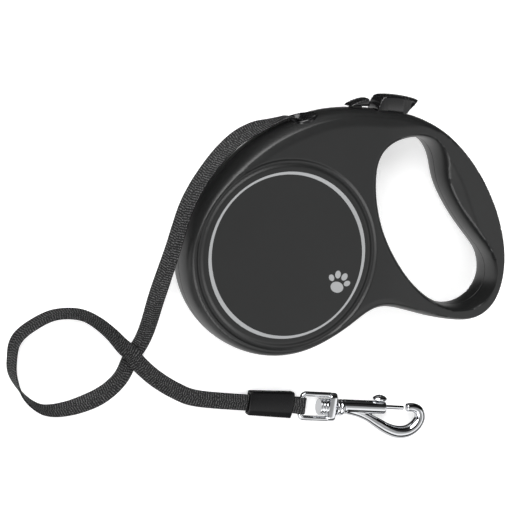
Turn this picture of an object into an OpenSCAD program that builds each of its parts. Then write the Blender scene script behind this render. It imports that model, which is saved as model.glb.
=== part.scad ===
// Retractable tape leash, lying on its back face.
// The origin is on the reel's axis in the plane of the back face. +Z runs along
// the reel's axis to the front face, +X points to the handle and +Y to the
// side with the tape guide and the brake button.

/* [Housing] */
// Thickness over both faces
body_t = 28; // [28:0.5:30]
// Radius of the round part that holds the reel
body_r = 50.8; // [50:0.1:51]
// Wall between the reel chamber and each face
wall = 2.6; // [2.2:0.1:2.8]
// Radius of the middle of the ring groove in each face
groove_r = 45.6; // [45:0.1:45.8]
// Width of the ring groove
groove_w = 2.4; // [1.5:0.1:2.6]
// Depth of the ring groove
groove_depth = 1; // [0.5:0.1:1.2]
// Depth of the round panel inside the groove below the face
panel_recess = 0.3; // [0.1:0.1:0.5]
// Slope of each face of the handle towards its far end, in degrees
handle_taper = 2.2; // [1:0.1:2.5]

/* [Reel] */
// Radius of the reel's flanges
reel_r = 41; // [40.5:0.1:41.5]
// Radius of the hub that the tape is wound on
hub_r = 18; // [17.5:0.1:18.5]
// Outer radius of the wound tape with the free length drawn out
wound_r = 39.6; // [38:0.1:40]
// Teeth in the brake rim, a multiple of 12
teeth = 24; // [24:12:24]
// Radius of the axle
axle_r = 4; // [3.5:0.1:4.2]

/* [Brake] */
// Width of the brake button along the axle
button_w = 13; // [11:0.5:14]
// Travel of the brake button
button_travel = 4; // [3:0.1:4]
// Travel of the lock slider
lock_travel = 2.5; // [2:0.1:2.5]

/* [Tape] */
// Width of the tape
tape_w = 8.4; // [8:0.1:8.6]
// Thickness of the tape
tape_t = 1; // [0.8:0.1:1.2]
// Length of the sleeve over the sewn end
sleeve_l = 24; // [22:0.5:25]
// Width of the sleeve
sleeve_w = 13; // [12:0.5:14]
// Thickness of the sleeve
sleeve_t = 5.4; // [5:0.1:5.6]

/* [Snap hook] */
// Turn of the snap hook from +X about +Z
snap_turn = -8; // [-12:1:-5]
// Radius of the swivel eye's wire
wire_r = 1.35; // [1.2:0.05:1.4]
// Radius of the round barrel that holds the bolt
barrel_r = 3.4; // [3.3:0.1:3.5]
// Radius of the spring bolt
bolt_r = 1.1; // [1:0.05:1.2]
// Travel of the spring bolt
bolt_travel = 9; // [8:0.5:9]

/* [Hidden] */

$fn = 64;
mid_z = body_t / 2;
gap = 0.3;

// The round part of the housing is not quite concentric with the reel
body_centre = [-0.8, -0.6];
// Control points of the housing's edge, after the round part, counter-clockwise:
// x, y and how far the face is set in from the edge
rim_points = [
    [37, -38.2, 5], [49, -29.6, 5], [61.8, -32, 4.6], [75.6, -36.9, 4.4], [88.8, -40.2, 4.4],
    [101, -42.1, 4.2], [111.5, -38.3, 3.8], [119, -28.6, 3.6], [122.2, -14, 4], [121.2, 1, 4.6],
    [116.4, 17.3, 4.8], [108, 34.1, 5], [96.9, 48.4, 5], [84.9, 58.7, 5], [70.6, 65.2, 6],
    [54.3, 68.2, 7], [38.1, 69.8, 7], [22.9, 69.2, 7], [8, 65.2, 7], [-6, 59.4, 6.5],
    [-19, 51, 6], [-31, 40.8, 5.5], [-42, 28.8, 5], [-49.4, 14.2, 5]
];
// Control points of the hand hole, counter-clockwise: x, y and how far the hole
// opens out at the face
hole_points = [
    [49.1, 38.9, 4], [49, 25.1, 4], [52.1, 10.2, 4], [58, -2.7, 4], [66.3, -15.8, 4],
    [77, -26.8, 3.6], [90.1, -34, 3.4], [104.7, -34.4, 3], [115.6, -24.8, 2.8], [115.1, -10.8, 4],
    [106.8, -1.1, 6.5], [98.8, 8.4, 8], [91.3, 19.7, 9], [85.5, 31.6, 9], [85, 42.7, 6.5],
    [79.8, 52.2, 4], [69, 54.4, 3.5], [57.5, 51.5, 3.6], [51.6, 46.1, 4]
];
// Each control point gives this many points of the finished edge
edge_steps = 3;
// Exponent of the edge's rounding: 1 is an ellipse, less is squarer
edge_shape = 0.85;
screw_points = [[-9.2, 48.9], [50, -21], [43.2, 43], [77.3, 56.8], [112.2, -31.2]];
screw_r = 1.2;
screw_head_r = 2.3;

chamber_r = 43;
boss_top = 4;
flange_t = 1.2;
rim_t = 2;
tape_gap = 0.5;
tape_low = mid_z - tape_w / 2;
tape_high = mid_z + tape_w / 2;
drum_low = tape_low - tape_gap - flange_t;
rim_low = tape_high + tape_gap;
rim_high = rim_low + rim_t;
spring_room_r = hub_r - 2.8;
tooth_depth = 4;
running = 0.06;
axle_end = 1.4;

guide_turn = 13.6;
guide_at = [12.3, 64.9, mid_z];
guide_r = 7;
guide_half = 4;

// The pawl turns about its pin when the button presses its free end
pawl_at = [8, 52];
pawl_low = rim_low - 0.1;
pawl_t = 2.2;
pawl_pin_r = 1.5;
// Direction of the tooth gap that the pawl drops into
catch_turn = 42;

// Route of the free tape from the reel side of the guide to the sleeve:
// x, y, z and the roll of the tape, where 0 lies flat and 90 stands on edge
tape_route = [
    [13.4, 60.6, 14, 90], [11.3, 64.3, 14, 90], [6, 65.8, 14, 89],
    [2.5, 65.3, 14.1, 87], [-3, 64.3, 14.3, 83], [-12, 62.1, 15.2, 66],
    [-21.5, 58.2, 16.8, 56], [-30.2, 51.7, 18.6, 51], [-37.7, 43.9, 20.2, 52],
    [-44.6, 35.3, 21.4, 52], [-50, 26, 22, 51], [-53.8, 15.4, 21.8, 49],
    [-56.7, 5, 20.3, 46], [-60, -7.8, 16.8, 34], [-62.5, -20, 12, 16],
    [-64.3, -33.5, 5.5, 5], [-66.8, -42.6, 1.6, 1], [-71.7, -49.8, 0.65, 0],
    [-77.6, -60.2, 0.65, 0], [-87.5, -67.4, 1.4, 12], [-101, -71.2, 3.2, 42],
    [-112.7, -72, 3.9, 58], [-120.3, -69.7, 4.2, 70], [-127.6, -62.7, 4.5, 80],
    [-132.2, -52.4, 4.7, 103], [-132.3, -43.9, 4.7, 108], [-130.7, -36.7, 4.7, 111],
    [-125.7, -31.4, 4.7, 113], [-115.4, -26.1, 4.7, 113], [-107, -24.7, 4.6, 116],
    [-97.5, -26.1, 4.5, 123], [-89.8, -30.5, 4.3, 133], [-82.8, -36.7, 4.1, 143],
    [-77.1, -43.2, 3.9, 156], [-71.9, -48.2, 3.3, 170], [-68.4, -53.1, 2.7, 178],
    [-60, -61.2, 1.9, 180], [-49, -68.8, 1.5, 180], [-37.6, -73.7, 1.9, 180]
];
tape_edge = 0.3;

snap_at = [35.4, -84.6, 4.5];
sleeve_from = -47.4;
sleeve_z = 3.2;
eye_from = -20.2;
eye_half = 6.2;
bar_at = eye_from + wire_r;
plate_t = 4.2;
neck_r = 2;
head_r = 4.2;
collar_l = 3.6;
barrel_from = 4;
barrel_to = 27.8;
barrel_v = 0.9;
bore_from = 5;
bore_to = 26.8;
bolt_v = 1.3;
bolt_from = 17.8;
bolt_to = 38.8;
knob_at = 24.7;
// Centre line of the hook from the barrel's root round to the tip: along the
// snap, across it, and the radius there
hook_line = [
    [5, -0.6, 2.7], [9, -1.3, 2.5], [14, -2.5, 2.3], [19.5, -4.5, 2.3], [25, -7.2, 2.7],
    [31, -10, 3], [37, -11.5, 3.3], [42.5, -10.9, 3.3], [46.8, -8, 3.2],
    [48.9, -3.6, 3], [47.6, 0.2, 2.7], [44, 1.7, 2.4], [40, 1.4, 2.2]
];

// ---- Curves and swept surfaces ----

function wrap(list, i) = list[(i + 2 * len(list)) % len(list)];

// Closed smooth curve guided by control points
function closed_curve(points, steps) = [
    for (i = [0 : len(points) - 1]) for (j = [0 : steps - 1])
        let (t = j / steps, a = wrap(points, i - 1), b = points[i])
        let (c = wrap(points, i + 1), d = wrap(points, i + 2))
        (pow(1 - t, 3) * a + (3 * pow(t, 3) - 6 * t * t + 4) * b
            + (-3 * pow(t, 3) + 3 * t * t + 3 * t + 1) * c + pow(t, 3) * d) / 6
];

// Open smooth curve through its points
function open_curve(points, steps) = concat([
    for (i = [0 : len(points) - 2]) for (j = [0 : steps - 1])
        let (t = j / steps, b = points[i], c = points[i + 1])
        let (a = points[max(i - 1, 0)], d = points[min(i + 2, len(points) - 1)])
        (2 * b + (c - a) * t + (2 * a - 5 * b + 4 * c - d) * t * t
            + (3 * b - a - 3 * c + d) * pow(t, 3)) / 2
], [points[len(points) - 1]]);

function unit(v) = v / norm(v);

// Unit vector across a closed counter-clockwise curve, pointing inwards
function inward(curve, i) =
    let (step = wrap(curve, i + 1) - wrap(curve, i - 1))
    unit([-step[1], step[0]]);

// The curve moved inwards by a share of the third value of each of its points
function inset(curve, share, z) = [
    for (i = [0 : len(curve) - 1])
        let (move = inward(curve, i) * curve[i][2] * share)
        [curve[i][0] + move[0], curve[i][1] + move[1], z]
];

// Solid between rings of equal length, each counter-clockwise about the way on
module skin(rings) {
    n = len(rings[0]);
    last = len(rings) - 1;
    sides = [
        for (r = [0 : last - 1]) for (i = [0 : n - 1])
            let (a = r * n + i, b = r * n + (i + 1) % n)
            each [[a, a + n, b + n], [a, b + n, b]]
    ];
    low = [for (i = [0 : n - 1]) i];
    high = [for (i = [n - 1 : -1 : 0]) last * n + i];
    polyhedron([for (ring = rings) each ring], concat([low], sides, [high]), 8);
}

// Unit tangent of a path of points at index i
function along(path, i) =
    let (a = path[max(i - 1, 0)], b = path[min(i + 1, len(path) - 1)])
    unit([b[0] - a[0], b[1] - a[1], b[2] - a[2]]);

// Ring of a flat or round section, given as [across, up] pairs, at a path point
function section_at(point, tangent, roll, section) =
    let (side = unit(cross([0, 0, 1], tangent)), up = cross(tangent, side))
    let (wide = side * cos(roll) + up * sin(roll))
    let (thick = up * cos(roll) - side * sin(roll))
    [for (s = section) [point[0], point[1], point[2]] + wide * s[0] + thick * s[1]];

function circle_points(r, n) = [for (i = [0 : n - 1]) r * [cos(360 * i / n), sin(360 * i / n)]];

// Round wire coiled about +Z, from z = 0 up to its length
module coil(r, wire, length, turns) {
    steps = 10 * turns;
    path = [
        for (i = [0 : steps])
            [r * cos(36 * i), r * sin(36 * i), wire + (length - 2 * wire) * i / steps]
    ];
    skin([for (i = [0 : steps]) section_at(path[i], along(path, i), 0, circle_points(wire, 6))]);
}

// Bar with round ends, its length along Y
module stadium(r, half, from, to) {
    translate([0, 0, from]) linear_extrude(to - from) {
        for (side = [-1, 1]) translate([0, side * half]) circle(r = r);
        square([2 * r, 2 * half], center = true);
    }
}

// ---- Housing ----

round_part = [
    for (a = [176 : 18 : 302])
        [body_centre[0] + (body_r + 0.8) * cos(a), body_centre[1] + (body_r + 0.8) * sin(a), 5]
];
rim_curve = closed_curve(concat(round_part, rim_points), edge_steps);
hole_curve = closed_curve(hole_points, edge_steps);
edge_angles = [15 : 15 : 75];

function edge_share(a) = 1 - pow(cos(a), edge_shape);
function edge_height(a) = mid_z * (1 + pow(sin(a), edge_shape));

// The rounding's last facet runs on to a little above the face, which trims it
past_share = 1 + 0.25 * (1 - edge_share(75));
past_height = body_t + 0.25 * (body_t - edge_height(75));

// Front half of the housing as a solid, from the parting plane up
module half_block() {
    difference() {
        intersection() {
            skin(concat(
                [inset(rim_curve, 0, mid_z - 1)],
                [for (a = edge_angles) inset(rim_curve, edge_share(a), edge_height(a))],
                [inset(rim_curve, past_share, past_height)]
            ));
            translate([0, 90, 0]) rotate([90, 0, 0]) linear_extrude(180) polygon([
                [-80, mid_z], [150, mid_z], [150, body_t - 95 * tan(handle_taper)],
                [55, body_t], [-80, body_t]
            ]);
        }
        skin(concat(
            [inset(hole_curve, 0, mid_z - 2)],
            [for (a = edge_angles) inset(hole_curve, -edge_share(a), edge_height(a))],
            [inset(hole_curve, -past_share, past_height)]
        ));
        rotate_extrude($fn = 128)
            translate([groove_r - groove_w / 2, body_t - groove_depth]) square([groove_w, 2]);
    }
}

// Hollows in one half: the reel chamber, the brake's pocket and the grip
module half_hollow() {
    top = body_t - wall;
    difference() {
        union() {
            translate([0, 0, mid_z - 1]) cylinder(r = chamber_r, h = top - mid_z + 1, $fn = 128);
            translate([0, 0, mid_z - 1]) linear_extrude(top - mid_z + 0.6) polygon([
                [-2, 40], [2, 56.5], [13, 61], [30, 63], [46, 62.3], [56.5, 61.2],
                [70, 58.6], [70, 57.2], [56.5, 57.2], [56.5, 51.5], [50, 49.5],
                [40, 47], [38, 20], [20, 30]
            ]);
        }
        translate([0, 0, body_t - boss_top]) cylinder(r = 7, h = boss_top);
    }
    translate([0, 0, mid_z - 1]) linear_extrude(7) polygon([
        [97, 40], [104, 30], [110.5, 15], [113.5, 3], [111.5, 3], [105, 13], [99, 23], [95, 35]
    ]);
}

// Cuts that both halves share across the parting plane
module shared_cuts() {
    at_guide() {
        stadium(guide_r + running, guide_half, -1.2, 4);
        stadium(guide_r - 1.4 + running, guide_half, -8, -1.1);
    }
    translate([49.2, 61.2 - button_travel, mid_z - button_w / 2 - 0.4])
        cube([22.1, 20, button_w + 0.8]);
    translate([38.6, 60.8, mid_z - 3]) cube([5.8 + lock_travel, 10, 6]);
    translate([0, 0, axle_end]) cylinder(r = axle_r, h = body_t - 2 * axle_end);
}

module at_guide() {
    translate(guide_at) rotate([0, 0, guide_turn]) rotate([-90, 0, 0]) children();
}

module front_shell() {
    color("#1c1c1e") difference() {
        half_block();
        half_hollow();
        shared_cuts();
        translate([0, 0, body_t - panel_recess]) cylinder(r = groove_r, h = 1, $fn = 128);
        for (p = screw_points) translate([p[0], p[1], mid_z - 1]) cylinder(r = screw_r, h = 8);
        translate([pawl_at[0], pawl_at[1], mid_z]) cylinder(r = pawl_pin_r, h = 12.4);
    }
}

module back_shell() {
    color("#1c1c1e") difference() {
        translate([0, 0, body_t]) mirror([0, 0, 1]) difference() {
            half_block();
            half_hollow();
        }
        shared_cuts();
        for (p = screw_points) {
            translate([p[0], p[1], -1]) cylinder(r = screw_r, h = body_t);
            translate([p[0], p[1], -1]) cylinder(r = screw_head_r + 0.2, h = 5.6);
        }
    }
}

module housing_screws() {
    color("silver") for (p = screw_points) translate([p[0], p[1], 3]) difference() {
        union() {
            cylinder(r = screw_head_r, h = 1.6);
            cylinder(r = screw_r, h = 16);
        }
        for (turn = [0, 90]) rotate([0, 0, turn]) translate([-1.4, -0.3, -1]) cube([2.8, 0.6, 2]);
    }
}

module tape_guide() {
    color("#0c0c0e") at_guide() difference() {
        union() {
            stadium(guide_r, guide_half, -1.2, 0.4);
            stadium(guide_r - 0.5, guide_half, 0.4, 0.9);
            stadium(guide_r - 1.4, guide_half, -6.8, -1.2);
        }
        translate([-1.7, -tape_w / 2 - 0.5, -8]) cube([3.4, tape_w + 1, 10]);
        hull() {
            stadium(1.7, tape_w / 2 - 1.2, -4.2, -4, $fn = 24);
            stadium(guide_r - 1.5, guide_half, 0.9, 1, $fn = 24);
        }
    }
}

// ---- Reel ----

module axle() {
    color("silver") translate([0, 0, axle_end]) cylinder(r = axle_r, h = body_t - 2 * axle_end);
}

module reel_drum() {
    color("#e4e2dc") difference() {
        union() {
            translate([0, 0, drum_low]) cylinder(r = reel_r, h = flange_t, $fn = 128);
            translate([0, 0, drum_low]) cylinder(r = hub_r, h = rim_low - drum_low);
            translate([0, 0, boss_top + gap]) cylinder(r = 7, h = drum_low - boss_top);
        }
        translate([0, 0, drum_low + flange_t]) cylinder(r = spring_room_r, h = 20);
        translate([0, 0, -1]) cylinder(r = axle_r + running, h = 20);
        hub_screw_spots() cylinder(r = 0.8, h = 12);
    }
}

// The ends of the hub cover's three screws
module hub_screw_spots() {
    for (turn = [0 : 120 : 240])
        rotate([0, 0, turn + 20]) translate([hub_r - 1.4, 0, rim_high + flange_t - 7]) children();
}

module ratchet_rim() {
    color("#e4e2dc") difference() {
        translate([0, 0, rim_low]) cylinder(r = reel_r, h = rim_t, $fn = 128);
        translate([0, 0, rim_low - 1]) cylinder(r = spring_room_r, h = 5);
        for (i = [0 : teeth - 1]) rotate([0, 0, catch_turn + 360 * i / teeth])
            translate([reel_r - tooth_depth, -2.6, rim_low - 1]) cube([tooth_depth + 1, 5.2, 5]);
        hub_screw_spots() cylinder(r = 0.8, h = 12);
    }
}

module hub_cover() {
    color("#55585c") difference() {
        union() {
            translate([0, 0, rim_high]) cylinder(r = hub_r + 1, h = flange_t);
            translate([0, 0, rim_high])
                cylinder(r = 7, h = body_t - boss_top - gap - rim_high);
        }
        translate([0, 0, rim_high - 1]) cylinder(r = axle_r + running, h = 8);
        hub_screw_spots() cylinder(r = 0.8, h = 12);
    }
}

module hub_cover_screws() {
    color("silver") hub_screw_spots() {
        cylinder(r = 0.8, h = 7);
        translate([0, 0, 7]) difference() {
            cylinder(r = 1.5, h = 0.8);
            translate([-1.1, -0.2, 0.4]) cube([2.2, 0.4, 1]);
        }
    }
}

// Flat strip wound in a spiral inside the hub
module mainspring() {
    turns = 7;
    steps = turns * 20;
    strip = 0.5;
    first = axle_r + 0.8;
    last = spring_room_r - 0.3;
    function at(i, offset) =
        (first + strip / 2 + (last - first - strip) * i / steps + offset) * [cos(18 * i), sin(18 * i)];
    color("#8d9499") translate([0, 0, drum_low + flange_t + gap])
        linear_extrude(rim_high - drum_low - flange_t - 2 * gap) polygon(concat(
            [for (i = [0 : steps]) at(i, strip / 2)],
            [for (i = [steps : -1 : 0]) at(i, -strip / 2)]
        ));
}

module wound_tape() {
    color("#161617") translate([0, 0, tape_low]) difference() {
        cylinder(r = wound_r, h = tape_w, $fn = 128);
        translate([0, 0, -1]) cylinder(r = hub_r + 0.1, h = tape_w + 2);
    }
}

// Tape inside the housing, between the reel and the guide
module lead_tape() {
    to = tape_route[0];
    from = [36.1, 18.6];
    run = [to[0] - from[0], to[1] - from[1]];
    color("#161617") translate([from[0], from[1], tape_low])
        rotate([0, 0, atan2(run[1], run[0])]) translate([0, -tape_t / 2, 0])
            cube([norm(run), tape_t, tape_w]);
}

// ---- Brake ----

module brake_button() {
    color("#0c0c0e") translate([0, 0, mid_z - button_w / 2]) intersection() {
        linear_extrude(button_w) polygon([
            [51, 60.5], [56, 60.5], [56, 62.6], [64.6, 62.6], [68.4, 67.2], [74, 71.4],
            [74.3, 72.2], [70, 73.6], [64, 74.8], [58, 75.4], [55, 75.4], [53.6, 74.8],
            [51, 69]
        ]);
        union() {
            translate([45, 50, 0]) cube([20, 30, button_w]);
            translate([65, 90, button_w / 2]) rotate([90, 0, 0])
                intersection() {
                    cylinder(r = 9.4, h = 50);
                    translate([0, -button_w / 2, 0]) cube([20, button_w, 50]);
                }
        }
    }
}

module button_spring() {
    color("silver") translate([61, 57.3, mid_z]) rotate([-90, 0, 0]) coil(2.4, 0.35, 5.2, 4);
}

module lock_slider() {
    color("#0c0c0e") {
        translate([0, 0, mid_z - 4.8]) linear_extrude(9.6) polygon([
            [37.4, 70.3], [38, 71.1], [41, 72.6], [44, 73.5], [46.8, 74], [47.3, 73.5],
            [47.3, 70]
        ]);
        translate([39, 61.6, mid_z - 2.5]) cube([5, 9, 5]);
        translate([37.6, 60.9, mid_z - 4]) cube([8, 1, 8]);
    }
}

module brake_pawl() {
    color("#c7a35a") translate([0, 0, pawl_low]) difference() {
        union() {
            translate(pawl_at) cylinder(r = 3.6, h = pawl_t);
            linear_extrude(pawl_t) polygon([
                [8, 48.6], [26, 51], [30.4, 50], [31.4, 38], [30.8, 29.4], [32.6, 27.6],
                [34.6, 36], [36.5, 48], [40, 53.5], [50, 55.8], [54, 56.4], [54, 60.1],
                [50, 60.1], [36, 57.6], [20, 55.6], [8, 55.6]
            ]);
        }
        translate([pawl_at[0], pawl_at[1], -1]) cylinder(r = pawl_pin_r + running, h = 8);
    }
}

module pawl_pin() {
    color("silver") translate([pawl_at[0], pawl_at[1], pawl_low - 0.2])
        cylinder(r = pawl_pin_r, h = mid_z + 12.4 - pawl_low + 0.2);
}

// ---- Tape outside the housing ----

tape_section = [
    [tape_w / 2, tape_edge - tape_t / 2], [tape_w / 2, tape_t / 2 - tape_edge],
    [tape_w / 2 - tape_edge, tape_t / 2], [tape_edge - tape_w / 2, tape_t / 2],
    [-tape_w / 2, tape_t / 2 - tape_edge], [-tape_w / 2, tape_edge - tape_t / 2],
    [tape_edge - tape_w / 2, -tape_t / 2], [tape_w / 2 - tape_edge, -tape_t / 2]
];

module free_tape() {
    route = concat(tape_route, [concat(snap_point(sleeve_from, sleeve_z), 180)]);
    path = open_curve(route, 2);
    color("#161617") skin([
        for (i = [0 : len(path) - 1]) section_at(path[i], along(path, i), path[i][3], tape_section)
    ]);
}

// A point on the snap's axis line, at a height above the ground
function snap_point(u, z) =
    [snap_at[0] + u * cos(snap_turn), snap_at[1] + u * sin(snap_turn), z];

module at_snap() {
    translate(snap_at) rotate([0, 0, snap_turn]) children();
}

// Child shapes are drawn in the plane of the snap's axis and +Z
module upright(width) {
    rotate([90, 0, 0]) translate([0, 0, -width / 2]) linear_extrude(width) children();
}

module tape_end_loop() {
    low = sleeve_z - snap_at[2];
    color("#161617") at_snap() upright(tape_w) difference() {
        union() {
            translate([bar_at, 0]) circle(r = wire_r + 1.1);
            polygon([
                [sleeve_from + 1, low - 1.1], [bar_at - 5, low - 1.1], [bar_at, -wire_r - 1.1],
                [bar_at, wire_r + 1.1], [bar_at - 5, low + 1.3], [bar_at - 8, low + 1.1],
                [sleeve_from + 1, low + 1.1]
            ]);
        }
        translate([bar_at, 0]) circle(r = wire_r + running);
    }
}

module tape_sleeve() {
    corner = 1.2;
    half = [sleeve_w / 2 - corner, sleeve_t / 2 - corner];
    color("#101011") translate(snap_point(sleeve_from, sleeve_z)) rotate([0, 0, snap_turn])
        difference() {
            rotate([90, 0, 90]) linear_extrude(sleeve_l) union() {
                for (side = [-1, 1], up = [-1, 1])
                    translate([side * half[0], up * half[1]]) circle(r = corner);
                square([sleeve_w, 2 * half[1]], center = true);
                square([2 * half[0], sleeve_t], center = true);
            }
            translate([1, -tape_w / 2, -1.1]) cube([sleeve_l, tape_w, 2.2]);
        }
}

// ---- Swivel and snap hook ----

module swivel_eye() {
    bend = 2;
    bar_r = wire_r;
    front = -plate_t;
    color("#c9ccd0") at_snap() difference() {
        union() {
            translate([bar_at, 0, 0]) rotate([90, 0, 0])
                translate([0, 0, -(eye_half - bend)]) cylinder(r = bar_r, h = 2 * (eye_half - bend));
            for (side = [-1, 1]) {
                translate([bar_at + bend, side * (eye_half - bend), 0]) rotate([0, 0, side > 0 ? 90 : 180])
                    rotate_extrude(angle = 90) translate([bend, 0]) circle(r = bar_r);
                translate([bar_at + bend, side * eye_half, 0]) rotate([0, 90, 0])
                    cylinder(r = bar_r, h = front - bar_at - bend + 0.5);
            }
            rotate([0, 90, 0]) stadium(2.9, eye_half - 1.7, front, 0);
        }
        translate([front - 1, 0, 0]) rotate([0, 90, 0]) cylinder(r = neck_r + running, h = plate_t + 2);
    }
}

module swivel_head() {
    color("#c9ccd0") at_snap() rotate([0, 90, 0]) difference() {
        union() {
            translate([0, 0, -plate_t - 5]) cylinder(r = head_r - 0.6, h = 4.8);
            for (ridge = [0 : 2])
                translate([0, 0, -plate_t - 5 + 1.75 * ridge]) cylinder(r = head_r, h = 1.2);
        }
        translate([0, 0, -plate_t - 4]) cylinder(r = neck_r, h = 6);
    }
}

module hook_arm() {
    line = open_curve(hook_line, 2);
    path = [for (p = line) [p[0], p[1], 0]];
    skin([
        for (i = [0 : len(path) - 1])
            section_at(path[i], along(path, i), 15, circle_points(line[i][2], 12))
    ]);
}

module snap_body() {
    color("#c9ccd0") at_snap() difference() {
        union() {
            hook_arm();
            rotate([0, 90, 0]) {
                translate([0, 0, 0.2]) cylinder(r = 4.3, h = collar_l);
                translate([0, 0, 3]) cylinder(r = 3.4, h = 2);
                translate([0, 0, -plate_t - 4]) cylinder(r = neck_r, h = plate_t + 7);
                translate([0, barrel_v, barrel_from]) cylinder(r = barrel_r, h = barrel_to - barrel_from);
            }
        }
        bolt_line() {
            translate([0, 0, bore_from]) cylinder(r = bolt_r + 0.7, h = bore_to - bore_from);
            translate([0, 0, bore_to - 1]) cylinder(r = bolt_r + running, h = 13);
        }
        translate([knob_at - bolt_travel - 1, bolt_v, -0.8]) cube([bolt_travel + 2, 6, 1.6]);
    }
}

// The bolt's own line, pointing to the hook's tip
module bolt_line() {
    translate([0, bolt_v, 0]) rotate([0, 90, 0]) children();
}

module snap_bolt() {
    color("#d6d8db") at_snap() bolt_line() {
        translate([0, 0, bolt_from + 2]) cylinder(r = bolt_r, h = bolt_to - bolt_from - 2);
        translate([0, 0, bolt_from]) cylinder(r = bolt_r + 0.6, h = bore_to - bolt_from - 0.4);
    }
}

module bolt_knob() {
    color("#c9ccd0") at_snap() translate([knob_at, 0, 0]) {
        rotate([-90, 0, 0]) translate([0, 0, bolt_v + 1.6]) cylinder(r = 0.65, h = 2.4);
        translate([0, 4.7, 0]) intersection() {
            translate([0, 0.1, 0]) sphere(r = 3.9);
            translate([-4.2, 0, -3]) cube([8.4, 2.9, 6]);
        }
    }
}

module bolt_spring() {
    color("silver") at_snap() bolt_line()
        translate([0, 0, bore_from + 0.1]) coil(1.25, 0.3, bolt_from - bore_from - 0.2, 6);
}

front_shell();
back_shell();
housing_screws();
tape_guide();
axle();
reel_drum();
ratchet_rim();
hub_cover();
hub_cover_screws();
mainspring();
wound_tape();
lead_tape();
brake_button();
button_spring();
lock_slider();
brake_pawl();
pawl_pin();
free_tape();
tape_end_loop();
tape_sleeve();
swivel_eye();
swivel_head();
snap_body();
snap_bolt();
bolt_knob();
bolt_spring();
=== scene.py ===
import bmesh
import bpy
import math
import numpy as np
from mathutils import Vector, Matrix, geometry


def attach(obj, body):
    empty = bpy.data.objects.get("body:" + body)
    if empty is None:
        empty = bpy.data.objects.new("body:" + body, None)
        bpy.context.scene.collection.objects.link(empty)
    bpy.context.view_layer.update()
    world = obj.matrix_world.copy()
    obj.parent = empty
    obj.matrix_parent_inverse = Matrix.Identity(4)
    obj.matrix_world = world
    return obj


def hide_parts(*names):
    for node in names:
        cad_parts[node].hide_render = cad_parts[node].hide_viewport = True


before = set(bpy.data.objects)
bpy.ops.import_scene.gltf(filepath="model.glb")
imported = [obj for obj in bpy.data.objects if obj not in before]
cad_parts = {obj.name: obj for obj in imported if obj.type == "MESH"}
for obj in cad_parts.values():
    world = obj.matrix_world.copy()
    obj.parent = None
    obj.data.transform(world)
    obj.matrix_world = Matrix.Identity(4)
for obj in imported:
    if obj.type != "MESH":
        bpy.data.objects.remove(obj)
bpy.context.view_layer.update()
MM = 0.001
scene = bpy.context.scene


# ---------------------------------------------------------------- small tools
def unit(v):
    v = np.asarray(v, float)
    return v / np.linalg.norm(v)


def mesh_piece(name, verts, faces, smooth=True, sharp=None):
    """A mesh object from points in millimetres; edges sharper than `sharp` degrees stay hard."""
    me = bpy.data.meshes.new(name)
    me.from_pydata([tuple(float(c) * MM for c in v) for v in verts], [], [tuple(f) for f in faces])
    me.validate()
    ob = bpy.data.objects.new(name, me)
    scene.collection.objects.link(ob)
    tidy(ob, smooth, sharp)
    return ob


def tidy(ob, smooth=True, sharp=None):
    """Doubled points merged, faces turned outward, and the shading of faces and edges set."""
    bm = bmesh.new()
    bm.from_mesh(ob.data)
    bmesh.ops.remove_doubles(bm, verts=bm.verts, dist=1e-7)
    bmesh.ops.recalc_face_normals(bm, faces=bm.faces)
    for f in bm.faces:
        f.smooth = smooth
    if sharp is not None:
        limit = math.radians(sharp)
        for e in bm.edges:
            if len(e.link_faces) == 2 and e.calc_face_angle(0) > limit:
                e.smooth = False
    bm.to_mesh(ob.data)
    bm.free()
    ob.data.update()


def bspline(points, steps):
    """Closed uniform cubic B-spline, sampled `steps` times a span, as in the part's own curves."""
    P = np.asarray(points, float)
    n = len(P)
    out = []
    for i in range(n):
        a, b, c, d = P[i - 1], P[i], P[(i + 1) % n], P[(i + 2) % n]
        for j in range(steps):
            t = j / steps
            out.append(((1 - t) ** 3 * a + (3 * t**3 - 6 * t * t + 4) * b
                        + (-3 * t**3 + 3 * t * t + 3 * t + 1) * c + t**3 * d) / 6)
    return np.array(out)


def catmull(points, steps):
    """Open smooth curve through its points."""
    P = np.asarray(points, float)
    out = []
    for i in range(len(P) - 1):
        a, b, c, d = P[max(i - 1, 0)], P[i], P[i + 1], P[min(i + 2, len(P) - 1)]
        for j in range(steps):
            t = j / steps
            out.append((2 * b + (c - a) * t + (2 * a - 5 * b + 4 * c - d) * t * t
                        + (3 * b - a - 3 * c + d) * t**3) / 2)
    out.append(P[-1])
    return np.array(out)


def resample(path, step):
    """The same line with points about `step` apart; extra columns ride along."""
    path = np.asarray(path, float)
    seg = np.linalg.norm(np.diff(path[:, :3], axis=0), axis=1)
    s = np.concatenate([[0], np.cumsum(seg)])
    n = max(2, int(round(s[-1] / step)) + 1)
    at = np.linspace(0, s[-1], n)
    return np.stack([np.interp(at, s, path[:, k]) for k in range(path.shape[1])], 1), at


def frames(path):
    """Unit direction of the line at each of its points."""
    t = np.gradient(path[:, :3], axis=0)
    t /= np.linalg.norm(t, axis=1)[:, None]
    return t


def grid_faces(rows, cols, caps=True):
    """Faces of a tube of `rows` rings with `cols` points each."""
    f = []
    for r in range(rows - 1):
        for c in range(cols):
            a, b = r * cols + c, r * cols + (c + 1) % cols
            f.append((a, b, b + cols, a + cols))
    if caps:
        f.append(tuple(range(cols - 1, -1, -1)))
        f.append(tuple(range((rows - 1) * cols, rows * cols)))
    return f


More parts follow.
